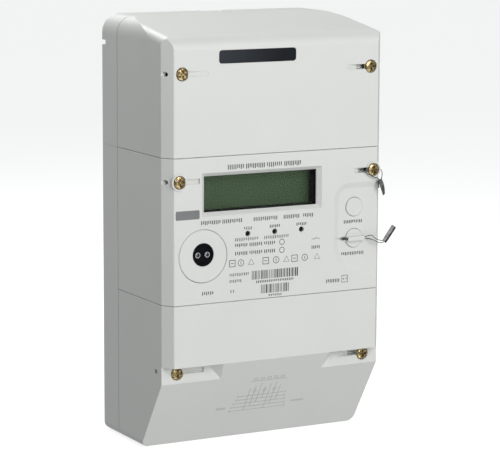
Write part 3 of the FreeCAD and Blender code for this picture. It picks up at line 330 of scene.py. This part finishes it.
def all_finishes():
    """A finish for each material slot of the record, and for the pieces added here."""
    return {
        "case_plastic": moulded("case_plastic", case_shade(0.715), case_shade(0.735), 0.46),
        "smoked_window": smoked_window(),
        "clear_pane": polished("clear_pane", (0.95, 0.97, 0.96), (0.97, 0.98, 0.97), 0.02,
                               Transmission_Weight=1.0, IOR=1.18),
        "display_glass": display_glass(),
        "light_guide": moulded("light_guide", (0.78, 0.82, 0.78), (0.82, 0.86, 0.82), 0.3),
        "black_plastic": moulded("black_plastic", (0.006, 0.006, 0.006), (0.010, 0.010, 0.010), 0.5,
                                 Specular_IOR_Level=0.2),
        "circuit_board": circuit_board(),
        "capacitor_can": metal("capacitor_can", (0.05, 0.06, 0.09), (0.07, 0.08, 0.12), 0.35),
        "core_steel": banded("core_steel", (0.16, 0.16, 0.17), (0.28, 0.28, 0.29), 1600, "Y", 0.45,
                             0.00008, Metallic=1.0),
        "winding_tape": banded("winding_tape", (0.58, 0.36, 0.05), (0.68, 0.46, 0.09), 120, "Z", 0.4,
                               0.00006),
        "dark_lens": polished("dark_lens", (0.004, 0.004, 0.006), (0.006, 0.006, 0.008), 0.14,
                              Specular_IOR_Level=0.12),
        "diode_lens": metal("diode_lens", (0.10, 0.105, 0.115), (0.20, 0.205, 0.22), 0.22),
        "bright_rim": metal("bright_rim", (0.50, 0.51, 0.54), (0.66, 0.67, 0.70), 0.35),
        "plain_steel": metal("plain_steel", (0.50, 0.51, 0.53), (0.62, 0.63, 0.65), 0.30, (1, 1, 8)),
        "silicone": moulded("silicone", (0.62, 0.63, 0.61), (0.68, 0.69, 0.67), 0.6),
        "module_plastic": moulded("module_plastic", (0.45, 0.46, 0.47), (0.49, 0.50, 0.51), 0.5),
        "battery_sleeve": polished("battery_sleeve", (0.55, 0.56, 0.60), (0.62, 0.63, 0.66), 0.25),
        "insulating_plastic": moulded("insulating_plastic", (0.165, 0.172, 0.18), (0.19, 0.197, 0.205),
                                      0.5),
        "terminal_brass": metal("terminal_brass", (0.58, 0.44, 0.18), (0.70, 0.56, 0.27), 0.28),
        "bar_copper": metal("bar_copper", (0.62, 0.28, 0.15), (0.74, 0.38, 0.22), 0.30, (1, 1, 6)),
        "aux_plastic": moulded("aux_plastic", (0.03, 0.16, 0.065), (0.04, 0.19, 0.08), 0.45),
        "gasket_rubber": moulded("gasket_rubber", (0.016, 0.016, 0.016), (0.024, 0.024, 0.024), 0.75),
        "passivated_steel": passivated_steel(),
        "seal_wire": metal("seal_wire", (0.10, 0.10, 0.11), (0.26, 0.26, 0.27), 0.34),
        "seal_tag": metal("seal_tag", (0.10, 0.10, 0.10), (0.21, 0.21, 0.205), 0.46, (1, 1, 3)),
        # The seal tag's metal painted near black: painted shade in the button tag's fold.
        "seal_fold": metal("seal_fold", (0.010, 0.010, 0.010), (0.022, 0.022, 0.022), 0.55),
        "ink": moulded("ink", (0.050, 0.052, 0.052), (0.07, 0.072, 0.072), 0.6, 5000, 0.00001),
        "faint_ink": moulded("faint_ink", (0.43, 0.435, 0.43), (0.48, 0.485, 0.48), 0.6, 5000, 0.00001),
        "pale_ink": moulded("pale_ink", (0.17, 0.175, 0.175), (0.21, 0.215, 0.215), 0.6, 5000, 0.00001),
    }


def dress_frame(finishes):
    """Gives every CAD node the finish of the slot that it was made with."""
    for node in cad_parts.values():
        for number, plain in enumerate(node.data.materials):
            node.data.materials[number] = finishes[plain.name.split(".")[0]]


# ---- pieces and faces ------------------------------------------------------------------


def add_piece(name, mesh, finish, body):
    """A finished mesh as a piece of the object, on its body."""
    mesh.materials.append(finish)
    piece = bpy.data.objects.new(name, mesh)
    SCENE.collection.objects.link(piece)
    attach(piece, body)
    return piece


def flat_face(node, roughly):
    """Origin, across, up and outward directions of a node's largest face that looks roughly so."""
    close_enough = 0.97
    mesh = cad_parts[node].data
    aim = Vector(roughly).normalized()
    facing = [face for face in mesh.polygons if face.normal.dot(aim) > close_enough]
    largest = max(facing, key=lambda face: face.area)
    out = largest.normal.copy()
    across = Vector((1, 0, 0))
    up = out.cross(across).normalized()
    return largest.center - across * largest.center.x, across, up, out


def mesh_of(name, build):
    """What was built as a mesh, with its faces turned outward."""
    bmesh.ops.recalc_face_normals(build, faces=build.faces)
    mesh = bpy.data.meshes.new(name)
    build.to_mesh(mesh)
    build.free()
    return mesh


# ---- printed marks ---------------------------------------------------------------------


class Print:
    """Thin closed shapes on a flat face of a node, placed by x and z in millimetres."""

    SUNK, PROUD = -0.02, 0.05  # how far each shape reaches into its face and out of it
    TICK, PITCH = 0.62, 1.24  # a tick's width, and from one tick to the next

    def __init__(self, node, roughly, recess=0.0):
        self.origin, self.across, self.up, self.out = flat_face(node, roughly)
        self.origin = self.origin - self.out * (recess * MM)
        self.build = bmesh.new()
        self.chance = random.Random(41)

    def point(self, x, z, lift):
        """The place over x and z on the face, lifted off it."""
        rise = (z * MM - self.origin.z) / self.up.z
        return self.origin + self.across * (x * MM) + self.up * rise + self.out * (lift * MM)

    def band(self, first, second):
        """Closes a strip of quads between two loops, round all four of its sides."""
        loops = [[self.build.verts.new(self.point(x, z, lift)) for x, z in loop]
                 for loop, lift in ((first, self.SUNK), (first, self.PROUD),
                                    (second, self.PROUD), (second, self.SUNK))]
        for near, far in zip(loops, loops[1:] + loops[:1]):
            for here in range(len(near)):
                after = (here + 1) % len(near)
                self.build.faces.new((near[here], near[after], far[after], far[here]))

    def shape(self, corners):
        """A thin plate with the given outline."""
        low = [self.build.verts.new(self.point(x, z, self.SUNK)) for x, z in corners]
        high = [self.build.verts.new(self.point(x, z, self.PROUD)) for x, z in corners]
        self.build.faces.new(high)
        self.build.faces.new(low[::-1])
        for here in range(len(corners)):
            after = (here + 1) % len(corners)
            self.build.faces.new((low[here], low[after], high[after], high[here]))

    def bar(self, left, right, low, high):
        self.shape([(left, low), (right, low), (right, high), (left, high)])

    def plate(self, left, right, low, high, cut):
        """A bar with its four corners cut off."""
        self.shape([(left, low + cut), (left + cut, low), (right - cut, low), (right, low + cut),
                    (right, high - cut), (right - cut, high), (left + cut, high),
                    (left, high - cut)])

    def stroke(self, start, end, width):
        """A straight line of the given width."""
        along = (Vector(end) - Vector(start)).normalized()
        side = Vector((-along.y, along.x)) * width / 2
        self.shape([Vector(start) + side, Vector(start) - side, Vector(end) - side,
                    Vector(end) + side])

    def polygon(self, x, z, radius, width, sides, turn=0.0):
        """The outline of a regular polygon, or of a circle when it has many sides."""
        self.band(*[[(x + size * math.cos(turn + math.tau * n / sides),
                      z + size * math.sin(turn + math.tau * n / sides)) for n in range(sides)]
                    for size in (radius, radius - width)])

    def outline(self, left, right, low, high, width):
        """The outline of a rectangle."""
        self.band([(left, low), (right, low), (right, high), (left, high)],
                  [(left + width, low + width), (right - width, low + width),
                   (right - width, high - width), (left + width, high - width)])

    def words(self, spans, z, height):
        """Plain upright ticks where the real face has text; spans are (left, right).

        Each tick reaches half the height up from z, and down by one of the depths.
        """
        depths = (0.5, 0.5, 0.3)
        for left, right in spans:
            count = max(2, round((right - left) / self.PITCH))
            step = (right - left - self.TICK) / (count - 1)
            for number in range(count):
                x = left + number * step
                foot = z - self.chance.choice(depths) * height
                self.bar(x, x + self.TICK, foot, z + height / 2)

    def bars(self, left, right, low, high):
        """A row of plain bars of mixed widths, the last of which may pass its end a little."""
        widths, gaps, overrun = (0.4, 0.4, 0.7, 0.9), (0.5, 0.7, 0.9), 0.2
        x = left
        while x < right:
            width = self.chance.choice(widths)
            self.bar(x, min(x + width, right + overrun), low, high)
            x += width + self.chance.choice(gaps)

    def piece(self, name, finish, body, slot):
        return add_piece(name, mesh_of(name, self.build), finish, body)


def front_print(finishes):
    """Every mark on the main cover's front, its maker bar, and the marks on the button panel."""
    front = (0, -1, 0)
    dark, pale = Print("main_cover", front), Print("main_cover", front)
    display_marks(dark)
    indicator_marks(dark, pale)
    small_icons(dark)
    code_marks(dark, pale)
    foot_marks(dark, pale)
    dark.piece("front_marks", finishes["ink"], "meter", "black_plastic")
    pale.piece("front_pale_marks", finishes["pale_ink"], "meter", "module_plastic")

    maker = Print("main_cover", front)
    maker.plate(-71.2, -54.8, 149.4, 155.0, 0.6)
    maker.piece("maker_bar", finishes["pale_ink"], "meter", "module_plastic")

    keys = Print("main_cover", front, PANEL_DEPTH_MM)
    keys.words([(48.7, 61.9)], 140.1, 2.1)
    keys.words([(47.1, 63.3)], 119.6, 2.1)
    keys.piece("key_marks", finishes["ink"], "meter", "black_plastic")


def display_marks(dark):
    """A row of words over the display and one under it."""
    dark.words([(-35.3, -24.2), (-22.6, -9.5), (-7.9, 2.6), (4.4, 16.2)], 180.3, 3.0)
    dark.words([(-53.8, -40.5), (-39.0, -25.4), (-17.1, -0.5), (4.2, 15.2), (18.2, 25.2)],
               146.7, 2.4)


def indicator_marks(dark, pale):
    """Names over and under the indicators, two rows that end in a circle, and a switch sign."""
    line = 0.4
    for x, width in zip((-21.2, -2.15, 16.9), (5.2, 7.0, 7.0)):
        dark.words([(x - width / 2, x + width / 2)], 141.4, 1.9)
    pale.words([(-30.2, -14.0), (-9.6, 7.6)], 134.6, 2.0)
    for z in (131.0, 125.9):
        dark.words([(-30.1, -21.6), (-20.0, -11.2), (-9.6, -2.0)], z, 2.2)
        dark.polygon(3.0, z, 1.9, line, 24)
    dark.words([(24.4, 30.2)], 125.9, 2.0)
    foot, top = 131.2, 132.2
    pale.stroke((24.4, foot), (26.6, foot), line)
    pale.stroke((26.6, foot), (28.4, top), line)
    pale.stroke((28.6, foot), (30.2, foot), line)


def code_marks(dark, pale):
    """Two rows of plain bars with a row of words under each, and three short rows beside them."""
    for left, right, z in ((-33.9, -20.6, 112.7), (-33.9, -25.8, 108.7), (-33.3, -30.9, 102.4)):
        pale.words([(left, right)], z, 1.9)
    dark.bars(-18.3, 14.4, 108.6, 114.1)
    dark.words([(-15.2, 11.3)], 107.0, 1.5)
    dark.bars(-11.7, 8.5, 99.4, 104.9)
    dark.words([(-6.2, 2.8)], 97.9, 1.3)


def foot_marks(dark, pale):
    """A word under the optical port, and at the right a word beside a small framed one."""
    dark.words([(-53.0, -45.4)], 102.6, 2.2)
    dark.words([(35.3, 44.8)], 103.2, 2.2)
    pale.outline(46.5, 51.1, 101.5, 106.2, 0.4)
    pale.words([(47.6, 50.2)], 103.8, 1.3)


def diode_rims(finishes):
    """The bright rims of the two infrared diodes, on the lens of the optical port."""
    behind = (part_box("optical_lens")[0].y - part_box("optical_disc")[0].y) / MM
    rims = Print("optical_disc", (0, -1, 0), behind)
    radius, width = 1.75, 0.5
    for node in ("ir_transmitter", "ir_receiver"):
        low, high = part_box(node)
        middle = (low + high) / 2 / MM
        rims.polygon(middle.x, middle.z, radius, width, 28)
    rims.piece("diode_rims", finishes["bright_rim"], "meter", "diode_lens")


def small_icons(marks):
    """A row of nine plain outline figures."""
    size, line, z = 2.2, 0.38, 119.9
    for number, x in enumerate((-32.1, -26.0, -18.8, -8.5, -1.1, 6.3, 12.1, 19.5, 28.4)):
        kind = number % 3
        if kind == 0:
            marks.outline(x - size, x + size, z - size, z + size, line)
            marks.stroke((x - size * 0.5, z), (x + size * 0.5, z), line)
        elif kind == 1:
            marks.polygon(x, z, size, line, 24)
            marks.stroke((x, z - size * 0.5), (x, z + size * 0.5), line)
        else:
            marks.polygon(x, z - 0.4, size * 1.15, line, 3, math.pi / 2)


def slope_print(finishes):
    """A made-up wiring diagram on the terminal cover's slope: rows of wires, columns, and clamps."""
    lines = Print("terminal_cover", (0, -0.838, -0.545))
    wire, outline = 0.34, 0.3
    left, right = -20.0, 17.0
    rows = [19.5 + 2.7 * row for row in range(5)]
    for number, z in enumerate(rows):
        shorter = 0.7 * number
        lines.stroke((left + shorter, z), (right - shorter, z), wire)
        lines.polygon(left + shorter - 1.2, z, 0.7, outline, 12)
        lines.polygon(right - shorter + 1.2, z, 0.7, outline, 12)
    for column in range(7):
        x = -11.4 + 3.6 * column
        lines.stroke((x, rows[column % 4]), (x, 36.0 + 1.6 * (column % 3)), wire)
        if column % 2:
            lines.polygon(x, 33.5, 1.3, outline, 20)
    lines.stroke((-13.0, 41.0), (13.0, 41.0), wire)
    for clamp in range(5):
        lines.outline(-11.0 + 4.8 * clamp, -8.4 + 4.8 * clamp, 41.8, 43.4, outline)
    lines.words([(-31.5, -25.5), (22.5, 31.5)], 22.4, 1.6)
    lines.piece("slope_marks", finishes["faint_ink"], "terminal_lid", "module_plastic")


# ---- wire seals ------------------------------------------------------------------------

# Millimetres: a strand's radius, its distance from the pair's middle, and the step along a wire.
STRAND_RADIUS, STRAND_OFFSET, STRAND_STEP = 0.17, 0.15, 0.12


def smooth_path(name, route):
    """Points along the smooth spline of a route that is given in millimetres."""
    curve = bpy.data.curves.new(name, "CURVE")
    curve.dimensions = "3D"
    spline = curve.splines.new("NURBS")
    spline.points.add(len(route) - 1)
    for control, place in zip(spline.points, route):
        control.co = (*(Vector(place) * MM), 1.0)
    spline.order_u = 3
    spline.use_endpoint_u = True
    spline.resolution_u = 24
    holder = bpy.data.objects.new(name, curve)
    mesh = bpy.data.meshes.new_from_object(holder)
    points = [vertex.co.copy() for vertex in mesh.vertices]
    bpy.data.objects.remove(holder)
    bpy.data.curves.remove(curve)
    bpy.data.meshes.remove(mesh)
    return evenly(points, STRAND_STEP * MM)


def evenly(points, step):
    """The same line with its points a step apart."""
    result, left_over = [points[0]], step
    for start, end in zip(points, points[1:]):
        length = (end - start).length
        while length > left_over:
            result.append(start.lerp(end, left_over / length))
            left_over += step
        left_over -= length
    return result


def frames_along(points):
    """Each point with two directions square to the line, which twist as little as possible."""
    side = Vector((0, 0, 1))
    for number, point in enumerate(points):
        ahead = points[min(number + 1, len(points) - 1)] - points[max(number - 1, 0)]
        ahead.normalize()
        side = (side - ahead * side.dot(ahead)).normalized()
        yield point, side, ahead.cross(side)


def twisted_pair(name, route, pitch):
    """Two thin strands twisted round each other along a route, with one turn to each pitch."""
    sides = 7
    build = bmesh.new()
    places = list(frames_along(smooth_path(name, route)))
    for start in (0.0, math.pi):
        rings = []
        for number, (point, side, other) in enumerate(places):
            turn = start + math.tau * number * STRAND_STEP / pitch
            middle = point + (side * math.cos(turn) + other * math.sin(turn)) * STRAND_OFFSET * MM
            rings.append([
                build.verts.new(middle + (side * math.cos(angle) + other * math.sin(angle))
                                * STRAND_RADIUS * MM)
                for angle in (math.tau * corner / sides for corner in range(sides))])
        skin(build, rings)
    return mesh_of(name, build)


def skin(build, rings):
    """Joins rings of corners into a closed tube."""
    count = len(rings[0])
    for near, far in zip(rings, rings[1:]):
        for here in range(count):
            after = (here + 1) % count
            build.faces.new((near[here], near[after], far[after], far[here]))
    build.faces.new(rings[0][::-1])
    build.faces.new(rings[-1])


def shares(steps):
    """Even shares of a length, from 0 to 1."""
    return [step / steps for step in range(steps + 1)]


def bent_strip(build, stations, width, thick):
    """A flat strip with softened edges, through stations in millimetres.

    Each station is (place, along, outward, share): where the strip's middle is, which ways its
    length and its face look, and how much of the width it has there.
    """
    soft = min(width, thick) * 0.3
    rings = []
    for place, along, outward, share in stations:
        along = Vector(along).normalized()
        outward = Vector(outward)
        outward = (outward - along * outward.dot(along)).normalized()
        across = along.cross(outward)
        half, deep = width * share / 2, thick / 2
        section = [(half, deep - soft), (half - soft, deep), (-half + soft, deep),
                   (-half, deep - soft), (-half, -deep + soft), (-half + soft, -deep),
                   (half - soft, -deep), (half, -deep + soft)]
        rings.append([build.verts.new((Vector(place) + across * u + outward * v) * MM)
                      for u, v in section])
    skin(build, rings)


def seals(finishes):
    """The twisted wires and crimped tags of both seals.

    The first wire runs inside the cover, through the hole across its right-hand screw, and its
    ends meet in front. The second goes in through the ridge of the lock button, turns round in
    the pit at the button's left, and comes back a little lower.
    """
    front, inside, z = -92.2, -87.45, 172.8
    strands = twisted_pair("screw_seal_strands", [
        (72.4, front - 2.6, 165.4), (71.8, front - 2.6, 167.2), (68.6, front - 2.3, 168.0),
        (64.0, front - 1.9, 170.4), (61.6, front - 0.8, 172.4), (61.2, inside, z),
        (75.4, inside, z), (78.0, inside - 0.9, 171.3), (75.6, front - 0.6, 168.0),
        (73.2, front - 2.6, 165.4)], 1.3)
    wire = add_piece("screw_seal_strands", strands, finishes["seal_wire"], "meter")
    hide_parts("screw_seal_wire")
    y, z, left = front - 0.25, 129.4, 47.65
    upper, lower = z + 0.37, z - 0.37
    strands = twisted_pair("button_seal_strands", [
        (75.6, -96.0, 127.2), (73.2, -95.9, 126.9), (68.2, -95.6, 129.2), (67.0, -95.2, 131.4),
        (63.2, y, upper), (left + 1.4, y, upper), (left, y + 2.2, upper),
        (left, y + 2.2, lower), (left + 1.4, y, lower), (63.6, y, lower),
        (67.2, -94.2, 128.3), (70.4, -95.3, 126.6), (73.6, -96.2, 125.2), (75.9, -96.4, 126.7)],
        1.2)
    wire = add_piece("button_seal_strands", strands, finishes["seal_wire"], "meter")
    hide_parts("button_seal_wire")
    screw_tag(finishes)
    button_tag(finishes)


def screw_tag(finishes):
    """A soft metal strip, crimped on the wires and twisted below them, with a short end beside."""
    build = bmesh.new()
    top, foot = Vector((72.6, -94.8, 166.6)), Vector((75.7, -94.8, 156.6))
    along = foot - top
    first_turn, twist = -35, 75
    stations = []
    for share in shares(24):
        turn = math.radians(first_turn + twist * share)
        outward = Vector((math.sin(turn), -math.cos(turn), 0))
        bulge = Vector((0.35 * math.sin(share * math.pi), 0, 0))
        stations.append((top + along * share + bulge, along, outward,
                         0.82 + 0.18 * math.sin(share * math.pi * 0.9)))
    bent_strip(build, stations, 2.9, 0.75)
    top, along = Vector((71.5, -94.4, 165.6)), Vector((0.7, 0.2, -4.6))
    stations = [(top + along * share, (0.15, 0, -1), (0.5, -1, 0), 1.0 - 0.35 * share)
                for share in shares(12)]
    bent_strip(build, stations, 1.5, 0.5)
    tag = add_piece("screw_seal_strip", mesh_of("screw_seal_strip", build), finishes["seal_tag"],
                    "meter")
    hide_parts("screw_seal_tag")


def button_tag(finishes):
    """A thick strip that holds both ends of the wire, folded over an inner leaf of the same metal that
    is painted near black as painted shade in the fold.
    """
    foot, tip = Vector((75.3, -96.2, 126.4)), Vector((82.6, -96.2, 135.9))
    along = tip - foot
    outward = Vector((-0.35, -0.9, 0.35)).normalized()
    aside = along.normalized().cross(outward)
    # Each leaf's piece and finish, how far it lies aside and outward, and its width.
    for name, finish, shift, lift, width in (
            ("button_seal_strip", "seal_tag", -0.35, 0.45, 2.3),
            # The middle leaf is the tag's metal painted near black: painted shade in the fold.
            ("button_seal_shade_leaf", "seal_fold", 0.72, -0.05, 1.5),
            ("button_seal_hem", "seal_tag", 1.15, -0.5, 1.3)):
        stations = []
        for share in shares(16):
            place = foot + along * share + aside * shift
            place += outward * (lift + 0.08 * math.sin(share * math.tau))
            stations.append((place, along, outward,
                             0.8 + 0.2 * math.sin(min(1.0, share * 2.2) * math.pi / 2)))
        build = bmesh.new()
        bent_strip(build, stations, width, 0.5)
        leaf = add_piece(name, mesh_of(name, build), finishes[finish], "meter")
        if name == "button_seal_strip":
            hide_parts("button_seal_tag")


# ---- soft boots ------------------------------------------------------------------------


def boots(finishes):
    """The silicone boots behind the buttons, each a copy of its CAD node's mesh as a piece on the
    meter.
    """
    for key in ("view", "lock"):
        node = f"{key}_button_boot"
        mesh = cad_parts[node].data.copy()
        mesh.materials.clear()
        boot = add_piece(f"{key}_return_boot", mesh, finishes["silicone"], "meter")
        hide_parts(node)
        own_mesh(boot)


# ---- run -------------------------------------------------------------------------------

studio_camera()
white_stage()
sky(0.36)
# Each softbox: azimuth and elevation in degrees, then distance, size and power.
soft_light("key", 4, 24, 0.95, 0.6, 5.0)
soft_light("left_fill", -80, 45, 0.7, 0.4, 0.25)
soft_light("low_fill", 6, -38, 1.0, 0.6, 1.6)
soft_light("back", 190, 50, 1.0, 0.5, 5.2)
SCENE.view_settings.view_transform = "Standard"

finishes = all_finishes()
dress_frame(finishes)
front_print(finishes)
diode_rims(finishes)
slope_print(finishes)
seals(finishes)
boots(finishes)
